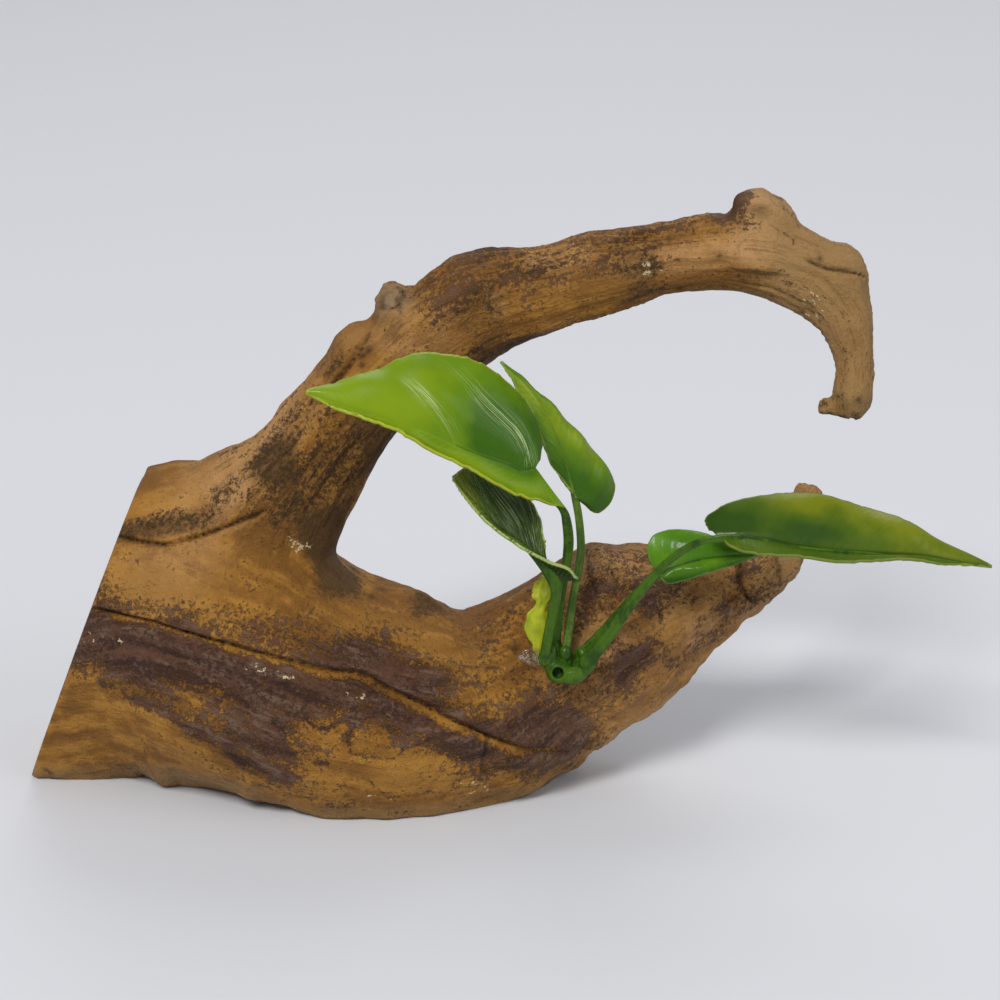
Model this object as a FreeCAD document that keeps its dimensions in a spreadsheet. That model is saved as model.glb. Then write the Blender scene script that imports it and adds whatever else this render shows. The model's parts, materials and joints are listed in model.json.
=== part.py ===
import FreeCAD, Part
import Sketcher
import math
import os

# Resin cave ornament: a cast driftwood log with an arch and a rising root, and a soft plastic
# plant of five fronds fixed to the front of the root. Millimetres, +Z up, +X towards the free
# end of the arch, -Y towards the side that carries the plant. The origin lies in the flat
# underside, below the middle of the part of the log that touches the table.

Vector = FreeCAD.Vector
doc = FreeCAD.newDocument("CaveOrnament")
sheet = doc.addObject("Spreadsheet::Sheet", "Dims")

# ---------------------------------------------------------------- driving dimensions

singleDims = {
    "endFootX": -71,         # where the sawn end of the log meets the table
    "endLean": 22,           # degrees that the sawn end leans back from upright
    "cutterSize": 300,       # side of the blocks that trim the log
    "elbowRadius": 8,        # knot on the outside of the arch's last bend
    "nubFootRadius": 3,      # broken end that turns inwards below the hook
    "nubTopRadius": 1.8,
    "nubLength": 7.5,
    "knobFootRadius": 12,    # broken side branch on top of the arch
    "knobTopRadius": 6.2,
    "knobLength": 16.5,
    "stubFootRadius": 5,     # broken twig on the shoulder of the arch
    "stubTopRadius": 3.6,
    "stubLength": 14,
    "hubWidth": 12,          # moulded foot of the plant
    "hubHeight": 7,
    "hubThick": 5,
    "hubRound": 0.8,
    "pinHole": 2.6,
    "spotFace": 19,          # flat that the foot of the plant sits on
    "spotReach": 20,         # how far outwards the spot face is cleared
    "pegDiameter": 4,
    "pegLength": 9,
    "glueLong": 4.2,         # half lengths of the bead of glue
    "glueHigh": 2.6,
    "glueDeep": 2.2,
    "footBall": 1.35,        # radius of the ball that each stem starts from
    "footGap": 0.2,          # room between a ball and its seat in the foot of the plant
    "bladeThick": 1.2,
}

# Stations along a limb: x, y, z of its middle, half its height across the bend, half its depth.
limbStations = {
    "trunk": [
        (-80, 13, 32, 39, 22),
        (-56, 9, 35.5, 41, 25),
        (-34, 4, 40, 43.6, 27.2),
        (-11, -3, 36, 39.6, 31),
        (12, -7, 26, 31.5, 31.2),
        (28, -6, 21, 31, 30.5),
        (43, -4, 19, 28.5, 28),
        (56, -2, 21, 26, 25.5),
        (70, 0, 28.5, 24.5, 22.5),
        (85, 2, 38, 24, 21),
        (99, 4, 46, 18.5, 17.5),
        (113, 7, 50, 12.5, 12),
        (126, 9, 54, 8.5, 8),
        (134, 11, 62, 5.5, 5),
        (138.5, 12, 75, 3.6, 3.4),
    ],
    "arch": [
        (-19, 0, 49, 26, 20),
        (-8, 0, 66, 21.5, 18),
        (0.5, 0, 81, 17.5, 15.5),
        (11, 1, 94.5, 14, 13.2),
        (23, 3, 108, 13.2, 12.6),
        (35.5, 5, 118.5, 12.8, 12.2),
        (48, 7, 126.5, 12.8, 12),
        (66, 9, 132, 11.3, 11),
        (84, 9, 136.5, 10.2, 10),
        (101, 8, 140.5, 9.4, 9.2),
        (114, 6, 141.5, 9.3, 9),
        (126, 3, 140.5, 9.6, 9.2),
        (137, 0, 136, 9, 8.4),
        (142.5, -4, 128.5, 7, 6.8),
        (144.5, -7, 121, 5, 4.8),
        (145, -9, 114.5, 4.8, 4.6),
        (144.5, -10, 108.5, 5.2, 5),
        (143, -10, 104.5, 3.4, 3.2),
    ],
    "cave": [
        (-90, 14, 36, 25, 14),
        (-50, 8, 37, 25, 15),
        (-22, 2, 38, 23, 16),
        (0, -2, 33.5, 16, 12),
        (10, -3, 30.5, 9, 7),
    ],
}

# Each frond: its stem as x, y, z, radius from the ball at its foot, then three lines of the
# blade from its base to its tip: the midrib, the edge above it and the edge below it.
fronds = {
    "upper": {
        "stem": [(70.2, -23.4, 46.8, 1.1), (71.8, -24.2, 54, 1.5), (73, -24.8, 65, 1.7),
                 (73.2, -25.6, 75, 1.7), (71.6, -28, 84.5, 1.5), (64, -31.6, 93, 1.1)],
        "rib": [(71, -28.6, 86.5), (58.5, -33, 97), (44, -35, 106), (27, -35, 113),
                (9.5, -33, 117.8)],
        "above": [(70, -27.5, 89), (64.5, -27, 108), (53.5, -28, 122), (33, -31, 125.5),
                  (9.5, -33, 118.6)],
        "below": [(72, -30, 86.8), (63, -34.5, 90.5), (46, -38, 101.5), (27, -37, 111),
                  (9.5, -33.4, 117)],
    },
    "lower": {
        "stem": [(67.3, -27.4, 45.4, 1.1), (68.8, -29, 53, 1.5), (69.8, -31, 61, 1.6),
                 (68.5, -31.4, 67, 1.4), (64, -29.6, 74, 0.9)],
        "rib": [(69.5, -32.4, 66), (65, -30, 73.5), (57.5, -27.5, 81.5), (51, -25, 87.5),
                (44.6, -24, 91.8)],
        "above": [(75.5, -34.2, 68.2), (70, -31.4, 74), (66.5, -27, 82), (60, -23, 90.5),
                  (44.6, -23.6, 92.6)],
        "below": [(69, -33.2, 65), (63.6, -32.4, 72), (55.5, -30.4, 79.5), (49, -27.4, 85.6),
                  (44.4, -24.6, 91)],
    },
    "middle": {
        "stem": [(72.6, -26, 46.2, 1.1), (75.6, -22.6, 55, 1.4), (76.6, -19.4, 66, 1.4),
                 (76.4, -17.4, 76, 1.3), (74.6, -16, 86, 1.1), (71, -15, 96, 0.8)],
        "rib": [(75.4, -16.4, 82), (73.2, -15.6, 91), (68.6, -14.6, 101), (62.6, -13.6, 110.5),
                (56.7, -13, 118.3)],
        "above": [(77, -15, 80), (84.5, -11, 83.5), (83, -11.4, 95), (73, -12, 106),
                  (57.3, -12.8, 118.6)],
        "below": [(74.6, -17, 81.5), (70.4, -19.5, 90), (65.4, -18, 100), (60, -15.6, 109.5),
                  (56.3, -13.4, 118)],
    },
    "long": {
        "stem": [(77.6, -27.4, 44.2, 1.1), (80, -27.8, 46.4, 1.3), (85.5, -28.6, 51.8, 2.5),
                 (92.2, -30, 60.5, 2.1),
                 (100, -31.2, 71.5, 1.7), (106.5, -32.4, 77.2, 1.5), (117, -33.4, 78, 1.2),
                 (132, -34, 76.2, 0.9)],
        "rib": [(107, -32.4, 78.4), (120, -33.4, 78.2), (140, -33.6, 76.4), (159, -33, 75.2),
                (176.5, -32, 72)],
        "above": [(107.4, -27, 82.6), (118, -23.5, 87.4), (138, -22, 86.6), (158, -26, 82),
                  (176.6, -31.6, 72.8)],
        "below": [(110, -33.6, 77), (121, -37, 75.4), (140, -37, 74), (159, -35, 73.6),
                  (176.4, -32.4, 71.4)],
    },
    "short": {
        "stem": [(76.6, -23, 44.6, 1.1), (82.5, -22, 49.5, 1.4), (90.5, -21.8, 58, 1.3),
                 (96, -21.6, 64.6, 1.1), (104, -21.2, 68.6, 0.8)],
        "rib": [(95, -22, 65), (100, -21.8, 67.4), (107, -21.4, 68.8), (114, -20.6, 70),
                (120.8, -20, 71.6)],
        "above": [(94, -20, 71.4), (98, -18, 75.6), (105, -17.4, 75.8), (112.5, -18, 73.4),
                  (120.8, -19.6, 72)],
        "below": [(96.4, -23.6, 64), (101.4, -24.4, 65), (108, -24, 66.6), (114.6, -22.4, 68.6),
                  (120.8, -20.4, 71.2)],
    },
}

# The sprig is one small lobed leaf held against the log by the glue.
sprigLines = {
    "rib": [(67.6, -21.8, 42.5), (67.4, -21, 47), (67.6, -19.6, 52), (68.4, -18.4, 57),
            (69, -17.4, 61.5)],
    "above": [(66.6, -21.8, 43), (64.2, -21, 48), (64.8, -19.8, 53.2), (66, -18.8, 57.4),
              (68, -17.6, 62)],
    "below": [(68.6, -21.6, 43), (70.4, -20.6, 48), (71.6, -19.2, 53), (72, -18.2, 57),
              (70, -17.4, 61.6)],
}

hubCentre = (72.4, -25.2, 41.4)    # middle of the foot's back face, before it is pushed out
faceLean = 20                      # degrees that the foot of the plant looks upwards
knobFoot = (121.5, 4, 140.5)
knobTilt = (0.02, 0, 1)
nubFoot = (143.4, -10, 106.2)
nubTilt = (-1, 0, 0.1)
stubFoot = (27, 4, 121)
stubTilt = (0.2, 0, 1)
elbowCentre = (140.5, -1.5, 138)
gluePlace = (64.6, -22.6, 43.6)
bladeSteps = 11                    # stations along a blade
axisNames = ("x", "y", "z")

# ---------------------------------------------------------------- the sheet

rowCount = 0


def put(alias, value):
    global rowCount
    rowCount += 1
    sheet.set("A%d" % rowCount, alias)
    sheet.set("B%d" % rowCount, "%g" % value)
    sheet.setAlias("B%d" % rowCount, alias)


for alias, value in singleDims.items():
    put(alias, value)
for limb, stations in limbStations.items():
    for number, station in enumerate(stations):
        for word, value in zip(("x", "y", "z", "across", "deep"), station):
            put("%s%d_%s" % (limb, number, word), value)
for frond, lines in fronds.items():
    for number, station in enumerate(lines["stem"]):
        for word, value in zip(("x", "y", "z", "radius"), station):
            put("%sStem%d_%s" % (frond, number, word), value)
doc.recompute()


def dim(alias):
    return float(sheet.get(alias))


# ---------------------------------------------------------------- helpers

def sectionPlaces(points):
    """One placement per station, square to the limb, all turned the same way so that it can't twist."""
    last = len(points) - 1
    places = []
    for number, point in enumerate(points):
        along = (points[min(number + 1, last)] - points[max(number - 1, 0)]).normalize()
        across = along.cross(Vector(0, 1, 0)).normalize()
        turn = FreeCAD.Rotation(across, along.cross(across), along, "ZXY")
        places.append(FreeCAD.Placement(point, turn))
    return places


def bindPlace(item, prefix):
    for axis in axisNames:
        item.setExpression("Placement.Base.%s" % axis, "Dims.%s_%s" % (prefix, axis))


def loftThrough(name, sections):
    loft = doc.addObject("Part::Loft", name)
    loft.Sections = sections
    loft.Solid = True
    loft.Ruled = False
    loft.MaxDegree = 3
    return loft


def limbLoft(limb):
    """A limb of oval section through its stations."""
    sections = []
    for number, place in enumerate(sectionPlaces([Vector(*item[:3]) for item in limbStations[limb]])):
        oval = doc.addObject("Part::Ellipse", "%sOval%d" % (limb, number))
        oval.Placement = place
        prefix = "%s%d" % (limb, number)
        bindPlace(oval, prefix)
        oval.setExpression("MajorRadius", "Dims.%s_across" % prefix)
        oval.setExpression("MinorRadius", "Dims.%s_deep" % prefix)
        sections.append(oval)
    return loftThrough(limb + "Limb", sections)


def stemShape(frond):
    """A tapered stem through its stations, with the ball that it turns on."""
    sections = []
    for number, place in enumerate(sectionPlaces([Vector(*item[:3]) for item in fronds[frond]["stem"]])):
        ring = doc.addObject("Part::Circle", "%sRing%d" % (frond, number))
        ring.Placement = place
        prefix = "%sStem%d" % (frond, number)
        bindPlace(ring, prefix)
        ring.setExpression("Radius", "Dims.%s_radius" % prefix)
        sections.append(ring)
    shaft = loftThrough(frond + "Shaft", sections)
    ball = doc.addObject("Part::Sphere", frond + "Ball")
    ball.setExpression("Radius", "Dims.footBall")
    bindPlace(ball, "%sStem0" % frond)
    stem = doc.addObject("Part::Fuse", frond + "Stem")
    stem.Base = ball
    stem.Tool = shaft
    stem.Label = "%s_stem" % frond
    return stem


def spreadAlong(points):
    curve = Part.BSplineCurve()
    curve.interpolate([Vector(*point) for point in points])
    return curve.discretize(bladeSteps)


def bladeSolid(lines, thick):
    """A thin folded leaf between its two edges and its midrib."""
    columns = [spreadAlong(lines["below"]), spreadAlong(lines["rib"]), spreadAlong(lines["above"])]
    rows = len(columns[0])
    front = []
    back = []
    for row in range(rows):
        before = max(row - 1, 0)
        after = min(row + 1, rows - 1)
        run = columns[1][after] - columns[1][before]
        frontRow = []
        backRow = []
        for column in range(3):
            left = columns[max(column - 1, 0)][row]
            right = columns[min(column + 1, 2)][row]
            normal = run.cross(right - left).normalize()
            frontRow.append(columns[column][row] + normal * (thick / 2))
            backRow.append(columns[column][row] - normal * (thick / 2))
        front.append(frontRow)
        back.append(backRow)
    faces = []

    def addQuad(a, b, c, d):
        for corners in ((a, b, c), (a, c, d)):
            faces.append(Part.Face(Part.makePolygon([*corners, corners[0]])))

    for row in range(rows - 1):
        for column in range(2):
            addQuad(front[row][column], front[row][column + 1],
                    front[row + 1][column + 1], front[row + 1][column])
            addQuad(back[row][column], back[row + 1][column],
                    back[row + 1][column + 1], back[row][column + 1])
        addQuad(front[row][0], front[row + 1][0], back[row + 1][0], back[row][0])
        addQuad(front[row][2], back[row][2], back[row + 1][2], front[row + 1][2])
    for column in range(2):
        addQuad(front[0][column], back[0][column], back[0][column + 1], front[0][column + 1])
        addQuad(front[-1][column], front[-1][column + 1], back[-1][column + 1], back[-1][column])
    solid = Part.makeSolid(Part.makeShell(faces))
    if solid.Volume < 0:
        solid.reverse()
    return solid


def bladeFeature(label, lines):
    blade = doc.addObject("Part::Feature", label.title().replace("_", ""))
    blade.Shape = bladeSolid(lines, dim("bladeThick"))
    blade.Label = label
    return blade


def cutFrom(name, base, tool):
    result = doc.addObject("Part::Cut", name)
    result.Base = base
    result.Tool = tool
    return result


def joinAll(name, items):
    result = doc.addObject("Part::MultiFuse", name)
    result.Shapes = items
    return result


def coneAlong(name, foot, tilt, footAlias, topAlias, lengthAlias):
    cone = doc.addObject("Part::Cone", name)
    cone.setExpression("Radius1", "Dims." + footAlias)
    cone.setExpression("Radius2", "Dims." + topAlias)
    cone.setExpression("Height", "Dims." + lengthAlias)
    cone.Placement = FreeCAD.Placement(Vector(*foot), FreeCAD.Rotation(Vector(0, 0, 1), Vector(*tilt)))
    return cone


# The plane of the plant's foot: its own X runs to the right, its Y up the log, its Z outwards.
facing = FreeCAD.Rotation(Vector(1, 0, 0), 90 - faceLean)
facePlace = FreeCAD.Placement(Vector(*hubCentre), facing)
outward = facing.multVec(Vector(0, 0, 1))


def offFace(distance):
    return FreeCAD.Placement(Vector(*hubCentre) + outward * distance, facing)


# ---------------------------------------------------------------- driftwood casting

def makeCasting():
    size = dim("cutterSize")
    floor = doc.addObject("Part::Box", "BelowTable")
    for side in ("Length", "Width", "Height"):
        floor.setExpression(side, "Dims.cutterSize")
    floor.Placement.Base = Vector(-size / 2, -size / 2, -size)

    beyondEnd = doc.addObject("Part::Box", "BeyondEnd")
    for side in ("Length", "Width", "Height"):
        beyondEnd.setExpression(side, "Dims.cutterSize")
    turn = FreeCAD.Rotation(Vector(0, 1, 0), dim("endLean"))
    corner = turn.multVec(Vector(-size, -size / 2, -size / 2))
    beyondEnd.Placement = FreeCAD.Placement(Vector(dim("endFootX"), 0, 0) + corner, turn)

    elbow = doc.addObject("Part::Sphere", "ElbowKnot")
    elbow.setExpression("Radius", "Dims.elbowRadius")
    elbow.Placement.Base = Vector(*elbowCentre)
    knob = coneAlong("BranchKnob", knobFoot, knobTilt, "knobFootRadius", "knobTopRadius", "knobLength")
    stub = coneAlong("TwigStub", stubFoot, stubTilt, "stubFootRadius", "stubTopRadius", "stubLength")

    nub = coneAlong("HookNub", nubFoot, nubTilt, "nubFootRadius", "nubTopRadius", "nubLength")

    wood = joinAll("Wood", [limbLoft("trunk"), limbLoft("arch"), elbow, knob, stub, nub])
    trimmed = cutFrom("TrimmedWood", cutFrom("StandingWood", wood, floor), beyondEnd)
    hollow = cutFrom("HollowWood", trimmed, limbLoft("cave"))

    spot = doc.addObject("Part::Cylinder", "SpotFace")
    spot.setExpression("Radius", "Dims.spotFace / 2")
    spot.setExpression("Height", "Dims.spotReach")
    spot.Placement = facePlace
    socket = doc.addObject("Part::Cylinder", "PegSocket")
    socket.setExpression("Radius", "Dims.pegDiameter / 2")
    socket.setExpression("Height", "Dims.pegLength")
    socket.Placement = offFace(-dim("pegLength"))
    casting = cutFrom("Casting", hollow, joinAll("PlantSeat", [spot, socket]))
    casting.Label = "driftwood_casting"
    return casting


# ---------------------------------------------------------------- foot of the plant

def planeOf(body, role):
    return next(item for item in body.Origin.OriginFeatures if item.Role == role)


def makeHub():
    body = doc.addObject("PartDesign::Body", "HubBody")
    outline = body.newObject("Sketcher::SketchObject", "HubOutline")
    outline.AttachmentSupport = (planeOf(body, "XY_Plane"), "")
    outline.MapMode = "FlatFace"
    reach = (dim("hubWidth") - dim("hubHeight")) / 2
    radius = dim("hubHeight") / 2
    right = outline.addGeometry(Part.ArcOfCircle(
        Part.Circle(Vector(reach, 0, 0), Vector(0, 0, 1), radius), -math.pi / 2, math.pi / 2))
    left = outline.addGeometry(Part.ArcOfCircle(
        Part.Circle(Vector(-reach, 0, 0), Vector(0, 0, 1), radius), math.pi / 2, 3 * math.pi / 2))
    top = outline.addGeometry(Part.LineSegment(Vector(reach, radius, 0), Vector(-reach, radius, 0)))
    bottom = outline.addGeometry(Part.LineSegment(Vector(-reach, -radius, 0), Vector(reach, -radius, 0)))
    for first, firstEnd, second, secondEnd in ((right, 2, top, 1), (top, 2, left, 1),
                                               (left, 2, bottom, 1), (bottom, 2, right, 1)):
        outline.addConstraint(Sketcher.Constraint("Tangent", first, firstEnd, second, secondEnd))
    outline.addConstraint(Sketcher.Constraint("Horizontal", top))
    outline.addConstraint(Sketcher.Constraint("Symmetric", right, 3, left, 3, -1, 1))
    spread = outline.addConstraint(Sketcher.Constraint("DistanceX", left, 3, right, 3, 2 * reach))
    rounded = outline.addConstraint(Sketcher.Constraint("Radius", right, radius))
    outline.setExpression("Constraints[%d]" % spread, "Dims.hubWidth - Dims.hubHeight")
    outline.setExpression("Constraints[%d]" % rounded, "Dims.hubHeight / 2")
    pad = body.newObject("PartDesign::Pad", "HubPad")
    pad.Profile = outline
    pad.setExpression("Length", "Dims.hubThick")
    doc.recompute()
    soften = body.newObject("PartDesign::Fillet", "HubSoften")
    topFace = max(range(len(pad.Shape.Faces)), key=lambda number: pad.Shape.Faces[number].CenterOfMass.z)
    soften.Base = (pad, ["Face%d" % (topFace + 1)])
    soften.setExpression("Radius", "Dims.hubRound")
    doc.recompute()
    holeSketch = body.newObject("Sketcher::SketchObject", "PinHoleSketch")
    holeSketch.AttachmentSupport = (planeOf(body, "XY_Plane"), "")
    holeSketch.MapMode = "FlatFace"
    ring = holeSketch.addGeometry(Part.Circle(Vector(-reach, 0, 0), Vector(0, 0, 1), dim("pinHole") / 2))
    wide = holeSketch.addConstraint(Sketcher.Constraint("Diameter", ring, dim("pinHole")))
    aside = holeSketch.addConstraint(Sketcher.Constraint("DistanceX", ring, 3, -1, 1, reach))
    holeSketch.addConstraint(Sketcher.Constraint("PointOnObject", ring, 3, -1))
    holeSketch.setExpression("Constraints[%d]" % wide, "Dims.pinHole")
    holeSketch.setExpression("Constraints[%d]" % aside, "(Dims.hubWidth - Dims.hubHeight) / 2")
    hole = body.newObject("PartDesign::Pocket", "PinHole")
    hole.Profile = holeSketch
    hole.Type = "ThroughAll"
    hole.Reversed = True
    body.Placement = facePlace
    doc.recompute()
    if hole.Shape.Volume > soften.Shape.Volume - 1:
        raise RuntimeError("the pin hole cuts nothing")

    seats = []
    for frond in fronds:
        seat = doc.addObject("Part::Sphere", frond + "Seat")
        seat.setExpression("Radius", "Dims.footBall + Dims.footGap")
        bindPlace(seat, "%sStem0" % frond)
        seats.append(seat)
    hub = cutFrom("Hub", body, joinAll("Seats", seats))
    hub.Label = "plant_hub"
    return hub


def makePeg():
    peg = doc.addObject("Part::Cylinder", "Peg")
    peg.setExpression("Radius", "Dims.pegDiameter / 2")
    peg.setExpression("Height", "Dims.pegLength")
    peg.Placement = offFace(-dim("pegLength"))
    peg.Label = "anchor_peg"
    return peg


def makeGlue():
    bead = doc.addObject("Part::Ellipsoid", "Glue")
    bead.setExpression("Radius2", "Dims.glueLong")
    bead.setExpression("Radius3", "Dims.glueHigh")
    bead.setExpression("Radius1", "Dims.glueDeep")
    bead.Placement = FreeCAD.Placement(Vector(*gluePlace), facing)
    bead.Label = "glue_bead"
    return bead


# ---------------------------------------------------------------- build, check and write

pieces = [makeCasting(), makeHub(), makePeg(), makeGlue(), bladeFeature("sprig", sprigLines)]
for frond, lines in fronds.items():
    pieces.append(stemShape(frond))
    pieces.append(bladeFeature(frond + "_blade", lines))
doc.recompute()

for item in doc.Objects:
    if "Invalid" in item.State or "Error" in item.State:
        raise RuntimeError("%s did not compute" % item.Name)

os.makedirs("parts", exist_ok=True)
for piece in pieces:
    if piece.Shape.isNull() or not piece.Shape.isValid():
        raise RuntimeError("%s has no valid shape" % piece.Label)
    box = piece.Shape.optimalBoundingBox()
    print("%-20s solids %d volume %9.1f  x %7.1f %7.1f  y %6.1f %6.1f  z %6.1f %6.1f" % (
        piece.Label, len(piece.Shape.Solids), piece.Shape.Volume,
        box.XMin, box.XMax, box.YMin, box.YMax, box.ZMin, box.ZMax))
    piece.Shape.exportStep("parts/%s.step" % piece.Label)
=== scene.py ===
import json
import math
import bpy
import numpy as np
from mathutils import Matrix, Vector


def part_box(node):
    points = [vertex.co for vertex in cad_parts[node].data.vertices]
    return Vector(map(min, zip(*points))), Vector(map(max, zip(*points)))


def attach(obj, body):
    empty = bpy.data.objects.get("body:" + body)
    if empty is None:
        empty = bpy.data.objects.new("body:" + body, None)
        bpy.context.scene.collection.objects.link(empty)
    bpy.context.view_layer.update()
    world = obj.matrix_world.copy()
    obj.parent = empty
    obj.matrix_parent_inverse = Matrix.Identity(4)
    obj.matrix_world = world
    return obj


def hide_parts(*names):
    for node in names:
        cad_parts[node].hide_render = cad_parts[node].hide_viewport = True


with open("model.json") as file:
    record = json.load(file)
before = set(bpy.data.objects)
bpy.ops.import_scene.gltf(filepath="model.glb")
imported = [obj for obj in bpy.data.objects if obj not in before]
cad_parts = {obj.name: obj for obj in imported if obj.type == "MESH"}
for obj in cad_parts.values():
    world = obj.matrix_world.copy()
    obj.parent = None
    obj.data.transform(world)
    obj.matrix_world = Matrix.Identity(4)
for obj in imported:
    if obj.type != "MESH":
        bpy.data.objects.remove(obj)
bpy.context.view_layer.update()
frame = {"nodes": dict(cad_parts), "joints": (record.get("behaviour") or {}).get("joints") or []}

mm = 0.001
feet = {joint["child"]: Vector(joint["pos_m"]) for joint in frame["joints"]}   # where each frond bends


def selectOnly(piece):
    bpy.ops.object.select_all(action="DESELECT")
    piece.select_set(True)
    bpy.context.view_layer.objects.active = piece


def applyModifier(piece, kind, **settings):
    selectOnly(piece)
    modifier = piece.modifiers.new(kind.title(), kind)
    for name, value in settings.items():
        setattr(modifier, name, value)
    bpy.ops.object.modifier_apply(modifier=modifier.name)


def settle(piece):
    # the place goes into the mesh, so that the object sits at the origin
    selectOnly(piece)
    bpy.ops.object.transform_apply(location=True, rotation=True, scale=True)


def dress(piece, material):
    piece.data.materials.clear()
    piece.data.materials.append(material)
    selectOnly(piece)
    bpy.ops.object.shade_smooth()


def joinAll(parts):
    bpy.ops.object.select_all(action="DESELECT")
    for part in parts:
        part.select_set(True)
    bpy.context.view_layer.objects.active = parts[0]
    bpy.ops.object.join()
    return bpy.context.object


def pointsOf(piece):
    points = np.zeros(len(piece.data.vertices) * 3)
    piece.data.vertices.foreach_get("co", points)
    return points.reshape(-1, 3)


def normalsOf(piece):
    normals = np.zeros(len(piece.data.vertices) * 3)
    piece.data.vertices.foreach_get("normal", normals)
    return normals.reshape(-1, 3)


def movePoints(piece, points):
    piece.data.vertices.foreach_set("co", points.ravel())
    piece.data.update()


def keepOn(piece, name, values):
    # a number or a vector on every point, for the material to read
    kind, field = ("FLOAT_VECTOR", "vector") if values.ndim > 1 else ("FLOAT", "value")
    attribute = piece.data.attributes.new(name, kind, "POINT")
    attribute.data.foreach_set(field, values.astype(np.float32).ravel())


def ease(low, high, value):
    t = np.clip((value - low) / (high - low), 0, 1)
    return t * t * (3 - 2 * t)


def bell(distance, width):
    return np.exp(-(distance / width) ** 2)


def smoothLine(points, count):
    # an even run of points on a curve through the given ones
    points = np.array(points, float)
    padded = np.vstack([2 * points[0] - points[1], points, 2 * points[-1] - points[-2]])
    places = np.linspace(0, len(points) - 1, count)
    spans = np.minimum(places.astype(int), len(points) - 2)
    t = (places - spans)[:, None]
    a, b, c, d = (padded[spans + step] for step in range(4))
    square, cube = 2 * a - 5 * b + 4 * c - d, 3 * b - a - 3 * c + d
    return 0.5 * (2 * b + (c - a) * t + square * t ** 2 + cube * t ** 3)


def latticeValues(corner, seed):
    # one number from -1 to 1 for each corner, from large primes
    across, deep, tall = corner.T
    mixed = (across * 73856093) ^ (deep * 19349663) ^ (tall * 83492791) ^ (seed * 2654435)
    mixed = (mixed ^ (mixed >> 13)) * 1274126177
    return ((mixed ^ (mixed >> 16)) & 65535) / 32767.5 - 1


def ripple(points, size, seed):
    # soft random field from -1 to 1; size is one number or one for each axis
    scaled = points / np.array(size, float)
    base = np.floor(scaled).astype(np.int64)
    t = scaled - base
    t = t * t * (3 - 2 * t)
    total = np.zeros(len(points))
    for x in (0, 1):
        for y in (0, 1):
            for z in (0, 1):
                weight = np.abs(1 - x - t[:, 0]) * np.abs(1 - y - t[:, 1]) * np.abs(1 - z - t[:, 2])
                total += weight * latticeValues(base + np.array([x, y, z]), seed)
    return total


def ripples(points, size, seed, layers=3):
    total = np.zeros(len(points))
    for layer in range(layers):
        total += ripple(points, np.array(size, float) / 2 ** layer, seed + layer) / 2 ** layer
    return total


class Value:
    # a shader socket that takes part in plain arithmetic
    def __init__(self, finish, socket):
        self.finish = finish
        self.socket = socket

    def reckon(self, operation, first, second):
        return self.finish.node("Math", {"operation": operation}, {0: first, 1: second})

    def __add__(self, other):
        return self.reckon("ADD", self, other)

    def __sub__(self, other):
        return self.reckon("SUBTRACT", self, other)

    def __rsub__(self, other):
        return self.reckon("SUBTRACT", other, self)

    def __mul__(self, other):
        return self.reckon("MULTIPLY", self, other)

    __radd__ = __add__
    __rmul__ = __mul__


class Finish:
    def __init__(self, name, **constants):
        self.material = bpy.data.materials.new(name)
        self.material.use_nodes = True
        self.tree = self.material.node_tree
        self.shader = self.tree.nodes["Principled BSDF"]
        for socket, value in constants.items():
            self.shader.inputs[socket.replace("_", " ")].default_value = value

    def feed(self, socket, value):
        if isinstance(value, Value):
            self.tree.links.new(value.socket, socket)
        elif isinstance(value, tuple) and len(value) == 3 and len(socket.default_value) == 4:
            socket.default_value = (*value, 1)
        else:
            socket.default_value = value

    def node(self, kind, settings, inputs, output=0):
        made = self.tree.nodes.new("ShaderNode" + kind)
        for name, value in settings.items():
            setattr(made, name, value)
        for name, value in inputs.items():
            self.feed(made.inputs[name], value)
        return Value(self, made.outputs[output])

    def place(self):
        return self.node("TexCoord", {}, {}, "Object")

    def kept(self, name, vector=False):
        return self.node("Attribute", {"attribute_name": name}, {}, "Vector" if vector else "Fac")

    def noise(self, where, scale, detail=4, roughness=0.55):
        return self.node("TexNoise", {}, {"Vector": where, "Scale": scale, "Detail": detail,
                                          "Roughness": roughness})

    def stretch(self, where, factors):
        return self.node("VectorMath", {"operation": "MULTIPLY"}, {0: where, 1: factors})

    def step(self, value, low, high, start=0.0, end=1.0):
        return self.node("MapRange", {"interpolation_type": "SMOOTHSTEP"},
                         {"Value": value, "From Min": low, "From Max": high,
                          "To Min": start, "To Max": end})

    def mix(self, amount, first, second):
        return self.node("Mix", {"data_type": "RGBA", "clamp_factor": True},
                         {0: amount, 6: first, 7: second}, 2)

    def layered(self, colour, layers):
        for amount, over in layers:
            colour = self.mix(amount, colour, over)
        return colour

    def bump(self, height, distance, strength=1.0):
        return self.node("Bump", {}, {"Height": height, "Distance": distance, "Strength": strength})

    def paint(self, **inputs):
        for socket, value in inputs.items():
            self.feed(self.shader.inputs[socket.replace("_", " ")], value)
        return self.material


woodColours = {
    "pale": (0.560, 0.315, 0.130),
    "ochreLight": (0.410, 0.196, 0.031),
    "ochre": (0.305, 0.134, 0.018),
    "ochreDeep": (0.200, 0.085, 0.014),
    "purple": (0.096, 0.042, 0.027),
    "purpleDeep": (0.036, 0.016, 0.012),
    "greyed": (0.150, 0.092, 0.066),
    "russet": (0.175, 0.078, 0.036),
    "stub": (0.300, 0.215, 0.125),
    "khaki": (0.330, 0.195, 0.072),
    "brown": (0.070, 0.036, 0.012),
    "crackAndGrooveShade": (0.016, 0.008, 0.004),
    "chipAndGlint": (0.62, 0.50, 0.30),
}


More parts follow.
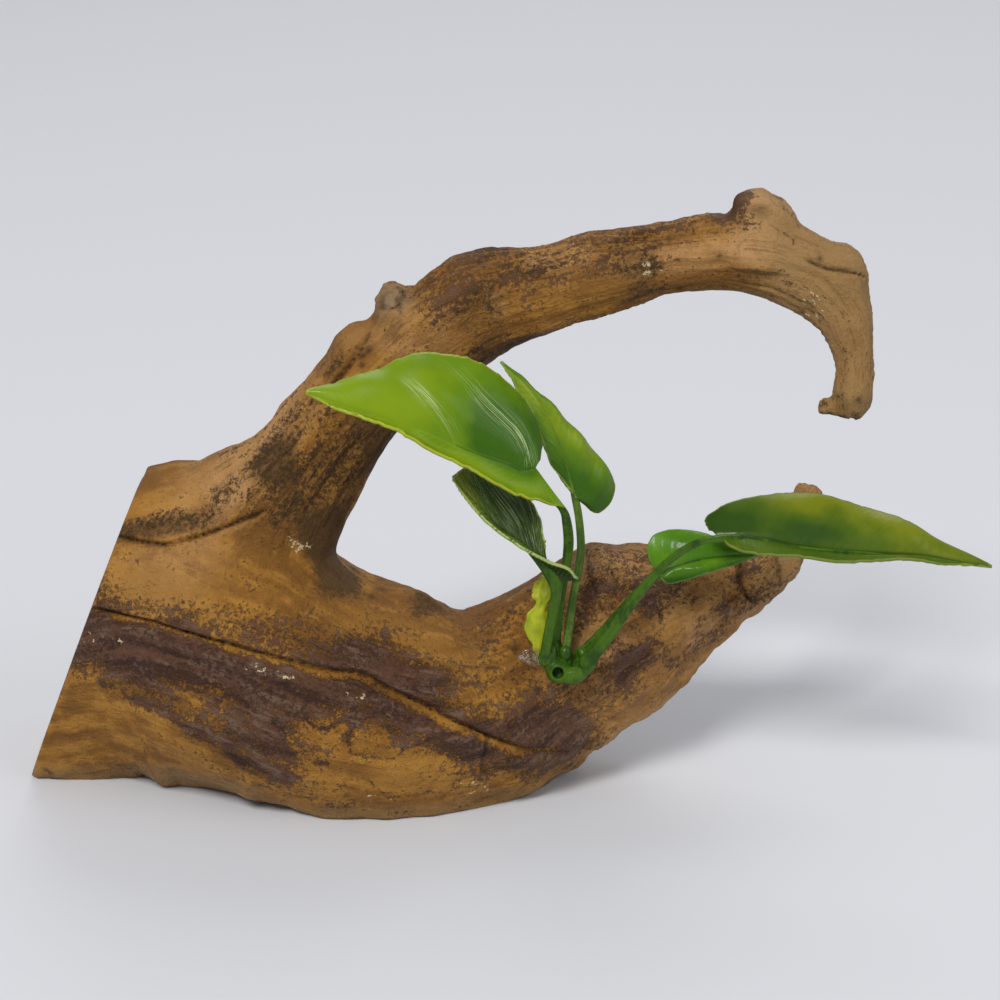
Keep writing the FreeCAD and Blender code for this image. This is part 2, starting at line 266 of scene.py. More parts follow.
def driftwoodPaint():
    made = Finish("driftwoodPaint", Specular_IOR_Level=0.22)
    tone = woodColours
    place = made.place()
    trunkGrain = made.kept("trunkGrain", vector=True)
    archGrain = made.kept("archGrain", vector=True)
    onArch = made.kept("onArch")

    def grain(factors, scale, detail):
        trunk = made.noise(made.stretch(trunkGrain, factors), scale, detail)
        arch = made.noise(made.stretch(archGrain, factors), scale, detail)
        return trunk + (arch - trunk) * onArch

    patina = made.kept("patina")
    broad = made.noise(place, 34, 3)
    streak = grain((0.12, 1, 1), 360, 5)
    fibre = grain((0.09, 1, 1), 1300, 4)
    blotch = made.noise(place, 230, 4, 0.62)
    speck = made.noise(place, 850, 5, 0.7)
    grit = made.noise(place, 2400, 3, 0.6)
    clump = grain((0.45, 1, 1), 135, 3)
    loose = ((speck - 0.5) * 1.9 + (blotch - 0.5) * 0.9 + (streak - 0.5) * 0.7 + (grit - 0.5) * 0.8
             + (clump - 0.5) * 1.1)
    fissure = made.step(grain((0.085, 1, 1), 640, 4) + (blotch - 0.5) * 0.35 + patina * -0.06,
                        0.375, 0.315)
    shade = made.kept("shade")
    mottle = made.step(patina + loose, 0.28, 0.68)
    deep = made.mix(made.step(fibre + (blotch - 0.5) * 0.8, 0.46, 0.68), tone["purple"], tone["greyed"])
    deep = made.mix(made.step(speck + (streak - 0.5) * 0.8, 0.40, 0.58), tone["purpleDeep"], deep)
    deep = made.mix(onArch * 0.4, deep, tone["russet"])
    # chipped paint, and a painted glint on the neck
    chipAndGlintSpot = made.step(made.noise(place, 520, 4, 0.65) + made.kept("chipsAndGlint") * 0.29, 0.845, 0.875)
    colour = made.layered(tone["ochreDeep"], [
        (made.step(broad + (streak - 0.5) * 0.8 + (blotch - 0.5) * 0.4, 0.34, 0.62), tone["ochre"]),
        (made.step(blotch * 0.5 + broad * 0.5 + (streak - 0.5) * 0.7, 0.44, 0.66), tone["ochreLight"]),
        (made.step(fibre, 0.50, 0.74, 0.0, 0.4), tone["ochreDeep"]),
        # lighter paint, and painted light on the neck's upward faces
        (made.kept("glow") * 0.75, tone["ochreLight"]),
        # paler paint, and painted light on faces turned up
        (made.kept("pale") * made.step(blotch + (speck - 0.5) * 0.4, 0.25, 0.55, 0.4, 0.95),
         tone["pale"]),
        (made.kept("khaki") * made.step(blotch + (speck - 0.5) * 0.6, 0.2, 0.6, 0.55, 0.95),
         tone["khaki"]),
        (made.kept("stub") * 0.9, tone["stub"]),
        (mottle * 0.94, deep),
        # painted shade in brown
        (made.step(shade + loose * 0.7, 0.12, 0.75, 0.0, 0.88), tone["brown"]),
        (made.step(grit + (speck - 0.5) * 0.6, 0.62, 0.72, 0.0, 0.30), tone["purpleDeep"]),
        (fissure * made.step(patina + shade, 0.0, 0.8, 0.12, 0.55), tone["purpleDeep"]),
        # dark cracks, and painted shade in grooves and pits
        (made.kept("crackAndGrooveShade"), tone["crackAndGrooveShade"]),
        (chipAndGlintSpot, tone["chipAndGlint"]),
    ])
    height = streak * 0.40 + fibre * 0.3 * (patina + shade + 0.3) + speck * 0.7 + grit * 0.16
    height = height + mottle * 0.16 + clump * 0.5 - fissure * 0.16
    rough = made.step(speck + (grit - 0.5) * 0.6, 0.35, 0.7, 0.50, 0.72) - chipAndGlintSpot * 0.2
    return made.paint(Base_Color=colour, Roughness=rough, Normal=made.bump(height, 0.0016, 0.95))


leafColours = {
    # deep, middle and light green, the rim, and the line along the rib with its strength;
    # on the upper blade that line is painted shade along the crease
    "upper": ((0.034, 0.102, 0.001), (0.100, 0.196, 0.001), (0.178, 0.272, 0.002), (0.36, 0.39, 0.030),
              (0.085, 0.17, 0.004), 0.3),
    "lower": ((0.016, 0.034, 0.003), (0.055, 0.100, 0.010), (0.170, 0.200, 0.014), (0.34, 0.42, 0.13),
              (0.06, 0.10, 0.01), 0.4),
    "middle": ((0.034, 0.102, 0.002), (0.084, 0.175, 0.004), (0.205, 0.282, 0.008), (0.22, 0.30, 0.05),
               (0.30, 0.38, 0.10), 0.8),
    "long": ((0.023, 0.060, 0.003), (0.055, 0.102, 0.003), (0.155, 0.182, 0.004), (0.17, 0.22, 0.03),
             (0.022, 0.055, 0.006), 0.9),
    "short": ((0.024, 0.084, 0.003), (0.064, 0.182, 0.005), (0.145, 0.310, 0.012), (0.13, 0.23, 0.05),
              (0.06, 0.15, 0.02), 0.3),
}


def leafPlastic(word, rough, veins):
    # the blade's own map runs from base to tip and from its lower to its upper edge
    deep, middle, light, rim, ribTone, ribStrength = leafColours[word]
    made = Finish(word + "Plastic", Coat_Roughness=0.12, Coat_Weight=0.16, Specular_IOR_Level=0.12)
    leafMap = made.node("UVMap", {"uv_map": "leafMap"}, {})
    cloud = made.noise(made.place(), 95, 3)
    fine = made.noise(made.stretch(leafMap, (150.0, 1.4, 1.0)), 1.5, 4)
    highlightStreaks = made.step(made.noise(made.stretch(leafMap, (110.0, 3.0, 1.0)), 1.6, 4, 0.65), 0.52, 0.59)
    # green tone, with painted shade and light at a fold on the long blade
    wash = made.kept("wash") + (cloud - 0.5) * 0.7 + (fine - 0.5) * 0.25
    colour = made.layered(deep, [
        (made.step(wash, 0.05, 0.50), middle),
        (made.step(wash, 0.42, 0.95), light),
        (made.step(fine, 0.52, 0.72, 0.0, veins), deep),
        # painted shade in the troughs between the veins
        (made.kept("furrowShade"), deep),
        # the rib's line; on the upper blade it is painted shade along the crease
        (made.kept("ribLine") * ribStrength, ribTone),
        # painted highlight: pale streaks where the lamp would glint on the blade
        (highlightStreaks * made.kept("paintedHighlight"), (0.50, 0.60, 0.30)),
        (made.kept("rim") * 0.85, rim),
    ])
    height = fine * 0.5 + made.noise(made.place(), 1500, 3) * 0.25
    roughness = made.step(cloud, 0.3, 0.7, rough - 0.05, rough + 0.08)
    return made.paint(Base_Color=colour, Roughness=roughness, Normal=made.bump(height, 0.0003, 0.6))


def stemPlastic(name, dark, light):
    made = Finish(name, Coat_Weight=0.15, Coat_Roughness=0.2, Specular_IOR_Level=0.15)
    place = made.place()
    cloud = made.noise(place, 140, 3)
    fleck = made.noise(made.stretch(place, (1, 1, 0.3)), 900, 4, 0.6)
    colour = made.mix(made.step(cloud + (fleck - 0.5) * 0.5, 0.36, 0.64), dark, light)
    return made.paint(Base_Color=colour, Roughness=made.step(fleck, 0.35, 0.65, 0.34, 0.50),
                      Normal=made.bump(fleck, 0.00025, 0.5))


def sprigPlastic():
    made = Finish("sprigPlastic", Specular_IOR_Level=0.4)
    place = made.place()
    cloud = made.noise(place, 260, 3)
    fleck = made.noise(place, 850, 4, 0.6)
    colour = made.mix(made.step(cloud, 0.35, 0.65), (0.22, 0.27, 0.004), (0.37, 0.40, 0.008))
    colour = made.mix(made.step(fleck, 0.62, 0.70, 0.0, 0.6), colour, (0.09, 0.13, 0.006))
    return made.paint(Base_Color=colour, Roughness=made.step(fleck, 0.3, 0.7, 0.36, 0.52),
                      Normal=made.bump(fleck, 0.0003, 0.6))


def gluePlastic():
    made = Finish("clearGlue", IOR=1.48, Specular_IOR_Level=0.6)
    cloud = made.noise(made.place(), 900, 3)
    colour = made.mix(made.step(cloud, 0.4, 0.62), (0.14, 0.09, 0.05), (0.36, 0.31, 0.24))
    return made.paint(Base_Color=colour, Roughness=made.step(cloud, 0.4, 0.7, 0.04, 0.16),
                      Alpha=made.step(cloud, 0.42, 0.74, 0.16, 0.62),
                      Normal=made.bump(cloud, 0.0009, 0.9))


view = {
    "target": (56, 0, 78),      # mm
    "distance": 560,
    "elevation": 20,            # degrees above the table
    "lens": 77.5,
}


def setCamera():
    lift = math.radians(view["elevation"])
    back = Vector((0, -math.cos(lift), math.sin(lift))) * view["distance"] * mm
    bpy.ops.object.camera_add(location=Vector(view["target"]) * mm + back,
                              rotation=(math.pi / 2 - lift, 0, 0))
    camera = bpy.context.object
    camera.data.lens = view["lens"]
    camera.data.sensor_width = 36
    camera.data.clip_start = 0.01
    bpy.context.scene.camera = camera


studio = {
    "floor": (0.625, 0.637, 0.672),
    "sky": (0.90, 0.91, 0.94),
    "skyStrength": 0.40,
    # place in metres, size, power, colour
    "lamps": [((-1.0, -2.6, 3.1), 1.2, 126, (1.0, 0.985, 0.96)),
              ((2.6, -1.6, 1.8), 2.0, 24, (0.95, 0.97, 1.0)),
              ((0.4, 2.6, 2.6), 2.2, 34, (1.0, 1.0, 1.0))],
}


def setStudio():
    scene = bpy.context.scene
    scene.view_settings.view_transform = "Standard"
    world = bpy.data.worlds.new("studioSky")
    scene.world = world
    world.use_nodes = True
    sky = world.node_tree.nodes["Background"]
    sky.inputs["Color"].default_value = (*studio["sky"], 1)
    sky.inputs["Strength"].default_value = studio["skyStrength"]
    bpy.ops.mesh.primitive_plane_add(size=30, location=(0, 0, -0.0002))
    floor = bpy.context.object
    floor.name = "floor"
    made = Finish("paleTable", Roughness=0.7, Specular_IOR_Level=0.2)
    made.paint(Base_Color=studio["floor"])
    dress(floor, made.material)
    middle = Vector((0.03, 0, 0.06))
    for place, size, power, colour in studio["lamps"]:
        bpy.ops.object.light_add(type="AREA", location=place)
        lamp = bpy.context.object
        lamp.data.size = size
        lamp.data.energy = power
        lamp.data.color = colour
        lamp.rotation_euler = (middle - Vector(place)).to_track_quat("-Z", "Y").to_euler()


driftwood = {
    "voxel": 0.72,             # mm
    "triangles": 188000,
    "sawnFoot": -71,           # where the sawn end meets the table, and how far it leans back
    "sawnLean": 22,
    "viewTilt": 0.364,         # rise of the front view's lines of sight for each mm of depth
    # middle lines of the two limbs with their half thickness
    "trunkLine": [(-80, 13, 32, 32), (-54, 10, 35, 32), (-29, 3, 41, 36), (-9, -4, 35, 36),
                  (12, -7, 26, 32), (28, -6, 21, 31), (43, -4, 19, 28), (56, -2, 21, 26),
                  (70, 0, 28.5, 23), (85, 2, 38, 22), (99, 4, 46, 18), (113, 7, 50, 12),
                  (126, 9, 54, 8), (134, 11, 62, 5), (138.5, 12, 75, 3.5)],
    "archLine": [(-19, 0, 49, 23), (-8, 0, 66, 20), (0.5, 0, 81, 16.5), (11, 1, 94.5, 13.6),
                 (23, 3, 108, 13), (35.5, 5, 118.5, 12.5), (48, 7, 126.5, 12.4), (66, 9, 132, 11),
                 (84, 9, 136.5, 10), (101, 8, 140.5, 9.3), (114, 6, 141.5, 9), (126, 3, 140.5, 9.4),
                 (137, 0, 136, 8.7), (142.5, -4, 128.5, 7), (144.5, -7, 121, 5), (145, -9, 114.5, 4.7),
                 (144.5, -10, 108.5, 5)],
    # places where limbs and stubs meet, smoothed over a radius
    "joins": [((0, 0, 72), 32), ((47, -4, 47), 16), ((13, -8, 60), 12), ((28, 4, 122), 8),
              ((122, 4, 148), 15), ((141, -2, 137), 12), ((142, -10, 106), 5), ((72, -24, 42), 15),
              ((-10, 0, 88), 24)],
    # how far the front of the foot is drawn in or out along the log: x, shift
    "skirt": [(-75, 1), (-66, 1), (-54, -3), (-43, -5.5), (-36, -1), (-30, 3), (-22, 0), (-10, -4.5),
              (0, 0), (40, 0), (160, 0)],
    # swellings: middle, radius, height
    "bulges": [((82, -6, 60.5), 5, 3.4), ((47, 6, 139), 9, 1.6), ((84, 6, 147), 12, 1.0),
               ((36, -6, 54), 5, 1.4), ((56, 8, 114), 4, 1.6), ((-28, 4, 84), 12, 2.6),
               ((-44, 6, 78), 10, 1.6), ((17, 2, 117), 6, 1.8), ((62, -6, 50), 6, 1.4),
               ((40, -28, 30), 16, 1.2), ((101, 3, 27), 3, 1.6), ((116, 3, 155.5), 3, 1.0),
               ((128.5, 3, 156), 3.5, -1.6), ((132, 3, 149), 4, 0.6), ((142, 2, 143), 5, 1.2),
               ((109, 5, 148), 6, 1.8), ((21.5, 3, 121.5), 5, 3.0), ((19, 3, 116), 6, 2.2),
               ((27, 0, 129), 4.5, 2.0), ((30, -2, 127), 4, 1.8), ((82.5, 0, 61.5), 3.2, 3.6),
               ((13, -10, 64), 8, 1.0), ((36, -4, 53), 6, 1.2)],
    "twigStub": (29, 1, 131),
    "knot": ((82, -10, 58), 8),
    "tipLift": ((138.5, 12, 75), 6, 2.8),    # the root's raised tip: middle, radius, rise
    # a fine crack low on the front
    "seam": [(-47, 27), (-34, 21.7), (-24, 16.8), (-16, 12), (-8, 6.8), (2, 2)],
    # grooves: line in the front view, depth, half width, how dark the painted shade in them is
    "frontGrooves": [
        ([(-50, 69), (-39, 67.9), (-31.5, 66.6), (-27, 66), (-19, 69.2), (-11, 71.4), (-5, 74),
          (-1.6, 77)], 1.9, 0.75, 1.0),
        ([(-58, 50.5), (-48, 49.2), (-37, 46.5), (-20, 41.8), (-5, 37.7), (13, 32.7), (22, 31.6),
          (29, 27.1), (41, 20.4), (51, 15.3), (61, 11), (71, 9)], 1.5, 0.7, 0.85),
        ([(12, 106), (17, 112.5), (21.5, 119), (24, 124)], 1.5, 0.7, 0.8),
        ([(7, 103), (11, 108.5), (15, 114.5)], 1.1, 0.6, 0.55),
        ([(131, 141.7), (136.5, 139.2), (141.6, 138.2), (148, 137)], 1.3, 0.6, 0.9),
        ([(52.7, 15), (52, 9.6), (51.6, 4), (54, 1)], 0.7, 0.8, 0.75),
        ([(79.5, 66), (78.5, 59), (81, 52), (82.5, 46)], 0.8, 0.6, 0.6),
        ([(85, 66), (84.5, 60), (86.5, 53.5)], 0.8, 0.6, 0.6),
        ([(119.8, 64), (119.6, 57), (121.6, 51), (125, 48)], 1.5, 0.8, 0.9),
        ([(128.4, 63), (130.5, 58), (130.5, 52.7)], 0.8, 0.7, 0.7),
    ],
    "backGrooves": [
        ([(-50, 30), (-30, 34), (-8, 30), (14, 20), (36, 14), (60, 10)], 1.6, 0.8, 0.85),
        ([(-44, 58), (-24, 61), (-6, 66), (4, 76)], 1.6, 0.7, 0.9),
        ([(18, 88), (30, 102), (46, 112), (64, 119)], 1.1, 0.6, 0.6),
        ([(62, 20), (80, 30), (98, 38), (112, 42)], 1.0, 0.7, 0.7),
    ],
    # coloured areas: middle, half sizes, turn, amount; each list is seen from the front
    "stains": [((24, 14), (34, 12), -18, 0.32), ((-14, 22), (28, 10), -24, 0.26),
               ((0, 8), (22, 8), -24, 0.22), ((100, 46), (24, 15), 42, 0.34),
               ((88, 58), (10, 10), 0, 0.34), ((124, 56), (8, 9), 0, 0.30),
               ((74, 28), (16, 12), 30, 0.22), ((77, 52), (5, 9), -10, 0.40),
               ((90, 33), (9, 4), 30, 0.40), ((98, 52), (7, 6), 30, 0.25),
               ((5, 90), (17, 18), 55, 0.32), ((-24, 77), (20, 5), 8, 0.22),
               ((60, 40), (14, 10), 0, 0.30), ((-12, 60), (30, 8), 0, -0.30),
               ((-50, 14), (18, 12), -20, -0.50), ((34, 4), (10, 5), 0, -0.60),
               ((98, 38), (12, 5), 42, -0.30), ((50, 22), (10, 5), 0, -0.30)],
    "veined": [((14, 14), (40, 14), -18, 1.0), ((100, 44), (24, 14), 40, 0.6)],
    "veinedDeep": [((14, 14), (40, 14), -18, 1.0)],
    "shadows": [((13, 62), (6, 12), 14, 1.0), ((4, 92), (14, 18), 0, 0.08), ((38, 50), (6, 5), 0, 0.7),
                ((30, 101), (12, 9), 40, 0.5), ((-33, 70.8), (16, 3.6), 8, 0.6),
                ((66, 60), (24, 12), 30, 0.15)],
    "glows": [((-38, 54), (24, 8), -6, 0.8), ((-44, 76), (18, 4), 4, 0.7), ((32, 5), (10, 5), 0, 0.9),
              ((30, 41), (16, 5), -20, 0.6), ((127, 56), (4, 6), 0, 0.6)],
    "archGlows": [((70, 131), (26, 4), 12, 0.35), ((100, 143), (12, 5), 0, 0.35)],
    "pales": [((100, 142), (16, 4), 8, 0.25), ((-40, 56), (24, 10), -6, 0.12)],
    "archPales": [((36, 122), (9, 9), 0, 0.25)],
    "khakis": [((-22, -1.5), (18, 4), -8, 0.9)],
    # where the paint is chipped; the area at (5, 66) is a painted glint
    "chipsAndGlint": [((-46, 40), (8, 2.4), -4, 1), ((-2, 32.6), (9, 2), -14, 1), ((20, 26), (4, 2.4), -20, 1),
              ((5, 66), (4, 5), 0, 1), ((26, -3), (5, 2), 0, 1), ((50, -1), (7, 3), 0, 1),
              ((95, 140), (9, 2.6), 10, 1), ((133, 127), (5, 7), 0, 1)],
    # and these are seen straight from the back
    "backStains": [((-14, 22), (52, 11), -12, 0.75), ((84, 38), (30, 12), 26, 0.50),
                   ((52, 124), (40, 9), 24, 0.40)],
    "knobStain": [((114, 155), (5, 5), 0, 0.75)],
    "knobPale": [((125, 151), (11, 9), 0, 0.9)],
    # where faces of the neck turned up and towards the sawn end take painted light
    "neckPale": [((-10, 90), (34, 10), 50, 0.42)],
    "pits": 150,
}


def limbSpace(points, line):
    # along the limb, and round it at a fixed radius; and how near the limb's own surface each point is
    line = np.array(line, float)
    middles = line[:, :3]
    steps = np.gradient(middles, axis=0)
    steps /= np.linalg.norm(steps, axis=1)[:, None]
    ups = np.cross(steps, (0, 1, 0))
    best = np.full(len(points), 1e9)
    along = np.zeros(len(points))
    radius = np.ones(len(points))
    gap = np.zeros((len(points), 3))
    up = np.zeros((len(points), 3))
    travelled = 0
    for number in range(len(line) - 1):
        start, run = middles[number], middles[number + 1] - middles[number]
        length = np.linalg.norm(run)
        t = np.clip((points - start) @ run / length ** 2, 0, 1)[:, None]
        offset = points - start - t * run
        distance = np.linalg.norm(offset, axis=1)
        near = distance < best
        best[near] = distance[near]
        along[near] = travelled + length * t[near, 0]
        radius[near] = (line[number, 3] + t * (line[number + 1, 3] - line[number, 3]))[near, 0]
        gap[near] = offset[near]
        up[near] = (ups[number] + t * (ups[number + 1] - ups[number]))[near]
        travelled += length
    side = gap[:, 1]
    rise = np.sum(gap * up, axis=1)
    size = np.hypot(side, rise) + 1e-6
    space = np.stack([along, 20 * side / size, 20 * rise / size], axis=1)
    return space, best / radius


def lineField(flat, line):
    # distance to a line in a flat view, on which side, and how far along it from 0 to 1
    line = smoothLine(line, 6 * len(line))
    best = np.full(len(flat), 1e9)
    side = np.zeros(len(flat))
    along = np.zeros(len(flat))
    for number in range(len(line) - 1):
        start, run = line[number], line[number + 1] - line[number]
        t = np.clip((flat - start) @ run / (run @ run), 0, 1)
        offset = flat - start - t[:, None] * run
        distance = np.linalg.norm(offset, axis=1)
        near = distance < best
        best[near] = distance[near]
        side[near] = np.sign(run[0] * offset[:, 1] - run[1] * offset[:, 0])[near]
        along[near] = (number + t[near]) / (len(line) - 1)
    return best, side, along


def patch(flat, middle, size, turn=0):
    angle = math.radians(turn)
    offset = flat - np.array(middle, float)
    x = offset[:, 0] * math.cos(angle) + offset[:, 1] * math.sin(angle)
    y = offset[:, 1] * math.cos(angle) - offset[:, 0] * math.sin(angle)
    return np.exp(-(x / size[0]) ** 4 - (y / size[1]) ** 4)


class Wood:
    # the casting's points, with what its relief and its colours share
    def __init__(self, points, normals):
        made = driftwood
        self.points, self.normals = points, normals
        self.x, self.z = points[:, 0], points[:, 2]
        facing = normals @ np.array([0, -1, made["viewTilt"]]) / math.hypot(1, made["viewTilt"])
        self.front = ease(-0.05, 0.35, facing)
        self.rear = ease(0.05, 0.4, -facing)
        self.frontView = np.stack([self.x, self.z + made["viewTilt"] * points[:, 1]], axis=1)
        self.backView = points[:, (0, 2)]
        self.trunkSpace, trunkNear = limbSpace(points, made["trunkLine"])
        self.archSpace, archNear = limbSpace(points, made["archLine"])
        self.onArch = ease(-0.25, 0.35, trunkNear - archNear) * ease(58, 74, self.z)
        self.wander = np.stack([ripple(points, 9, seed) for seed in (3, 4)], axis=1) * 0.7
        lean = math.radians(made["sawnLean"])
        fromSaw = (self.x - made["sawnFoot"]) * math.cos(lean) - self.z * math.sin(lean)
        self.calm = ease(0.1, 1.8, fromSaw)
        self.insideCave = ease(0.8, 0.6, trunkNear) * ease(14, 8, self.x)
        self.root = ease(62, 76, self.x) * (1 - self.onArch)
        self.knobEnd = ease(149, 155, self.z)
        # the long ledge, and what lies on each side of it
        ledgeLine = made["frontGrooves"][1][0]
        self.ledge, side, along = lineField(self.frontView + self.wander, ledgeLine)
        self.underLedge = side < 0
        self.below = self.front * self.underLedge * ease(0.0, 0.04, along)
        self.above = self.front * (side > 0)
        self.rim = 0.9 + 1.3 * ease(-30, 14, self.x) * ease(72, 40, self.x)
        self.seam = lineField(self.frontView + 2 * self.wander, made["seam"])[0]
        self.veins = ease(0.22, 0.0, np.abs(ripples(points * np.array((0.8, 1, 1.3)), 9, 66, 2)))

    def grain(self, size, seed, layers=3):
        trunk = ripples(self.trunkSpace, size, seed, layers)
        return trunk + (ripples(self.archSpace, size, seed + 50, layers) - trunk) * self.onArch

    def near(self, middle, radius):
        return bell(np.linalg.norm(self.points - np.array(middle, float), axis=1), radius)

    def areas(self, name, view=None):
        # rounded areas of a flat view, added up
        view = self.frontView if view is None else view
        return sum(amount * patch(view, middle, size, turn)
                   for middle, size, turn, amount in driftwood[name])


def patinaOf(wood):
    # how much of the dark purple-brown wash is left
    x, ledge, rim = wood.x, wood.ledge, wood.rim
    upwards = wood.normals[:, 2]
    loose = 1.6 * ripple(wood.points, 6, 61)
    bandWidth = 6 + 9 * ease(20, -45, x)
    band = 0.25 * ease(15, -30, x) + 0.75 * ease(rim - 0.8, rim + 1.8, ledge + 0.4 * loose)
    patina = wood.below * band * ease(bandWidth + 9, bandWidth - 6, ledge + loose)
    patina += 0.52 * wood.above * ease(17, 3, ledge + loose) * ease(-70, -52, x)
    patina += 0.22 * wood.above * ease(24, 10, ledge + loose) * ease(0, 16, x)
    patina += wood.front * wood.areas("stains") + wood.rear * wood.areas("backStains", wood.backView)
    alongArch = wood.onArch * ease(24, 40, x) * ease(122, 94, x)
    patina += 0.42 * alongArch * ease(0.0, 0.7, upwards + 0.25 * ripple(wood.points, 9, 65))
    patina += 0.10 * alongArch * ease(0.9, 0.2, np.abs(upwards))
    patina += wood.areas("knobStain", wood.backView)
    patina += 0.45 * wood.veins * wood.front * wood.areas("veined")
    patina += 0.5 * wood.front * bell(wood.seam, 2.0)
    return patina


def groovesOf(wood):
    # for every groove: how deep it is cut, and how dark the painted shade in it is
    for grooves, side, view in (("frontGrooves", wood.front, wood.frontView),
                                ("backGrooves", wood.rear, wood.backView)):
        for line, depth, width, dark in driftwood[grooves]:
            distance, _, along = lineField(view + wood.wander, line)
            ends = side * ease(0, 0.12, along) * ease(1, 0.82, along)
            thickness = width * (0.75 + 0.35 * ripple(wood.points, 5, 31))
            yield depth * ends * bell(distance, thickness), dark * ends * bell(distance, thickness * 0.7)


def pitsOf(wood):
    random = np.random.default_rng(12)
    chosen = wood.points[random.integers(0, len(wood.points), driftwood["pits"])]
    for middle, size in zip(chosen, random.uniform(0.5, 1.1, driftwood["pits"])):
        yield wood.near(middle, size), size


def reliefOf(wood):
    # how far the surface stands out, in mm
    points, ledge = wood.points, wood.ledge
    height = ripples(points, 26, 1, 2) + 0.55 * wood.grain((34, 9, 9), 10)
    height -= wood.below * (1.3 * bell(ledge - 0.9, 1.8) + 0.8 * bell(ledge - 9, 3.5))
    height += wood.below * 0.6 * bell(ledge - 4.5, 2.4)
    height += wood.above * 0.7 * bell(ledge - 1.0, 2.4)
    height -= 0.35 * wood.veins * wood.front * wood.areas("veinedDeep")
    for cut, _ in groovesOf(wood):
        height -= cut
    height -= 0.5 * wood.front * bell(wood.seam, 0.9) * (ripple(points, 4, 41) > -0.2)
    fibres = 1 - 2 * np.abs(wood.grain((26, 2.8, 2.8), 20, 2))
    height += (0.14 + 0.30 * np.clip(patinaOf(wood), 0, 1) + 0.15 * wood.onArch) * fibres
    height += 0.22 * ripples(points, 3.2, 71, 2)
    for middle, radius, rise in driftwood["bulges"]:
        height += rise * wood.near(middle, radius)
    height += 1.5 * wood.near(driftwood["twigStub"], 6) * ripples(points, 2.3, 81, 2)
    height += 0.7 * wood.onArch * ripples(points, 11, 103, 2)
    height += 0.8 * wood.knobEnd * ripples(points, 4.5, 86, 2)
    height += wood.near(*driftwood["knot"]) * ripples(points, 3, 91, 2)
    height += 1.3 * wood.root * ripples(points * np.array((1, 1, 1.2)), 9, 93, 3)
    atFoot = ease(16, 2, wood.z) * wood.calm
    height += atFoot * ripples(points * np.array((1, 1, 0.4)), 11, 95, 2)
    for hole, _ in pitsOf(wood):
        height -= 0.5 * hole
    return height * wood.calm * (1 - 0.6 * wood.insideCave)


def shadeOf(wood):
    # painted shade in brown: hollows, the cave, round the twig stub, low on the arch, faces turned down;
    # and darker mottling on the arch before the hook
    onArch, x, z = wood.onArch, wood.x, wood.z
    stub = wood.near(driftwood["twigStub"], 5)
    shade = wood.front * (wood.areas("shadows") + 0.30 * onArch * ease(112, 84, z))
    shade += 0.15 * onArch * ease(-5, 5, x) * ease(120, 100, z)
    shade += 0.45 * onArch * ease(124, 108, x) * ease(0.1, 0.6, ripple(wood.points, 13, 101))
    shade += 0.8 * wood.insideCave + 0.5 * wood.near(driftwood["twigStub"], 6) * (1 - stub)
    # painted shade: faces turned down are darker
    return shade + 0.38 * ease(0.25, 0.95, -wood.normals[:, 2])


def glowOf(wood):
    # warm yellow areas: lighter paint, and painted light on upward faces where the arch starts
    onArch, x = wood.onArch, wood.x
    lip = bell(wood.ledge - wood.rim * 0.6, 1.0) * wood.underLedge * ease(-20, 15, x)
    glow = wood.front * (wood.areas("glows") + onArch * wood.areas("archGlows") + 0.2 * lip)
    # painted light: upward faces where the arch starts are lighter
    glow += 0.42 * onArch * ease(-20, 0, x) * ease(40, 10, x) * ease(0.1, 0.7, wood.normals[:, 2])
    return glow + 0.35 * wood.root * ease(0.1, 0.6, ripple(wood.points, 8, 97))


def paleOf(wood):
    # paler paint, and painted light on faces that turn up and towards the sawn end
    points, onArch, x = wood.points, wood.onArch, wood.x
    upwards = wood.normals[:, 2]
    pale = wood.front * (wood.areas("pales") + onArch * wood.areas("archPales"))
    pale += wood.areas("knobPale", wood.backView)
    # painted light: on the arch, faces that turn up are paler, evenly and in patches
    pale += 0.12 * onArch * ease(20, 60, x) * ease(130, 110, x) * ease(-0.4, 0.6, upwards)
    pale += 0.35 * onArch * ease(0.0, 0.5, ripple(points, 11, 99)) * ease(-0.3, 0.5, upwards)
    # painted light: faces of the neck turned up and towards the sawn end are paler
    towardsSaw = ease(0.0, 0.7, upwards - 0.5 * wood.normals[:, 0])
    pale += (1 - wood.insideCave) * towardsSaw * wood.areas("neckPale", wood.backView)
    return pale + wood.root * (0.22 + 0.36 * ease(-0.4, 0.4, ripple(points, 9, 98)))


def coloursOf(wood):
    # where each colour lies, for the paint to read
    points, front, insideCave = wood.points, wood.front, wood.insideCave
    khaki = wood.onArch * ease(112, 128, wood.x) + 0.8 * ease(118, 128, wood.x) * (1 - wood.onArch)
    khaki += front * (wood.areas("khakis") + 0.8 * ease(8, 1, wood.z))
    stub = wood.near(driftwood["twigStub"], 5)
    # dark cracks on the twig stub and knob end, then painted shade in the grooves and large pits
    crackAndGrooveShade = np.maximum(0.7 * stub * ease(0.15, 0.5, ripple(points, 2.2, 83)),
                       0.45 * wood.knobEnd * ease(0.2, 0.7, ripple(points, 5, 88)))
    for _, dark in groovesOf(wood):
        crackAndGrooveShade = np.maximum(crackAndGrooveShade, dark)
    for hole, size in pitsOf(wood):
        crackAndGrooveShade = np.maximum(crackAndGrooveShade, 0.75 * hole * (size > 0.7))
    return {"patina": patinaOf(wood), "crackAndGrooveShade": crackAndGrooveShade, "shade": shadeOf(wood), "khaki": khaki,
            "chipsAndGlint": front * (1 - insideCave) * wood.areas("chipsAndGlint"), "onArch": wood.onArch,
            "glow": glowOf(wood), "pale": paleOf(wood), "stub": stub}


